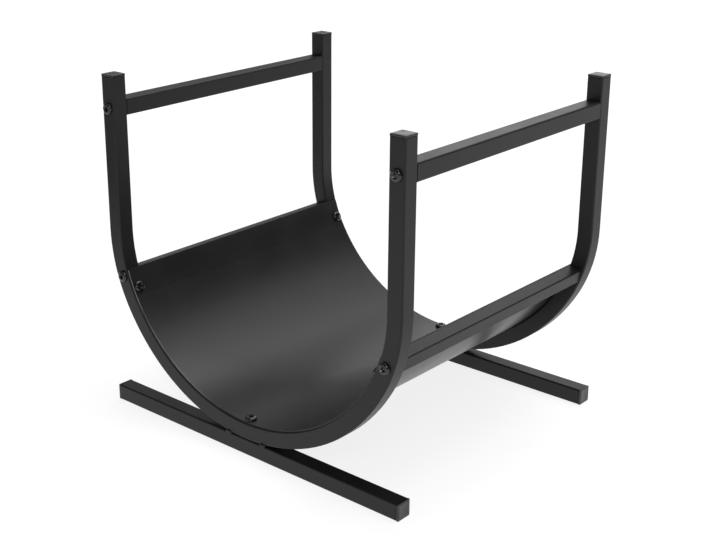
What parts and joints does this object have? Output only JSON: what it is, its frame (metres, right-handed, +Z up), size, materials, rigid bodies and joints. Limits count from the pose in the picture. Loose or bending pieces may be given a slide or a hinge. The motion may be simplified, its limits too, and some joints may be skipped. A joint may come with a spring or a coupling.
{
  "type": "firewood rack",
  "caption": "Low U-shaped indoor firewood rack: square-tube hoops on flat foot bars, joined by rails, with a curved steel sheet that cradles the logs.",
  "frame": {"origin": "on the floor, at the centre of the rack's footprint", "axes": "+X to the right across the U as seen from the front hoop, +Y from the front hoop to the rear hoop, +Z up"},
  "size_m": [0.4, 0.3518, 0.372],
  "materials": {
    "black_powder_coat": "satin black powder coat on steel tube",
    "sheet_powder_coat": "satin black powder coat on steel sheet",
    "cap_plastic": "black moulded plastic, lightly grained",
    "black_screw": "black oxide screw steel, slightly glossy",
    "plate_steel": "bare mild steel, inside the rails",
    "zinc_steel": "bright zinc-plated steel, inside the hoops"
  },
  "bodies": {
    "root": {"front_hoop": "black_powder_coat", "rear_hoop": "black_powder_coat", "front_foot_bar": "black_powder_coat", "rear_foot_bar": "black_powder_coat", "front_foot_welds": "black_powder_coat", "rear_foot_welds": "black_powder_coat", "upper_left_rail": "black_powder_coat", "upper_right_rail": "black_powder_coat", "lower_left_rail": "black_powder_coat", "lower_right_rail": "black_powder_coat", "log_cradle": "sheet_powder_coat", "front_left_arm_cap": "cap_plastic", "front_right_arm_cap": "cap_plastic", "rear_left_arm_cap": "cap_plastic", "rear_right_arm_cap": "cap_plastic", "front_left_foot_cap": "cap_plastic", "front_right_foot_cap": "cap_plastic", "rear_left_foot_cap": "cap_plastic", "rear_right_foot_cap": "cap_plastic", "upper_rail_screws": "black_screw", "lower_rail_screws": "black_screw", "cradle_screws": "black_screw", "upper_rail_nut_plates": "plate_steel", "lower_rail_nut_plates": "plate_steel", "cradle_rivet_nuts": "zinc_steel"}
  },
  "joints": []
}
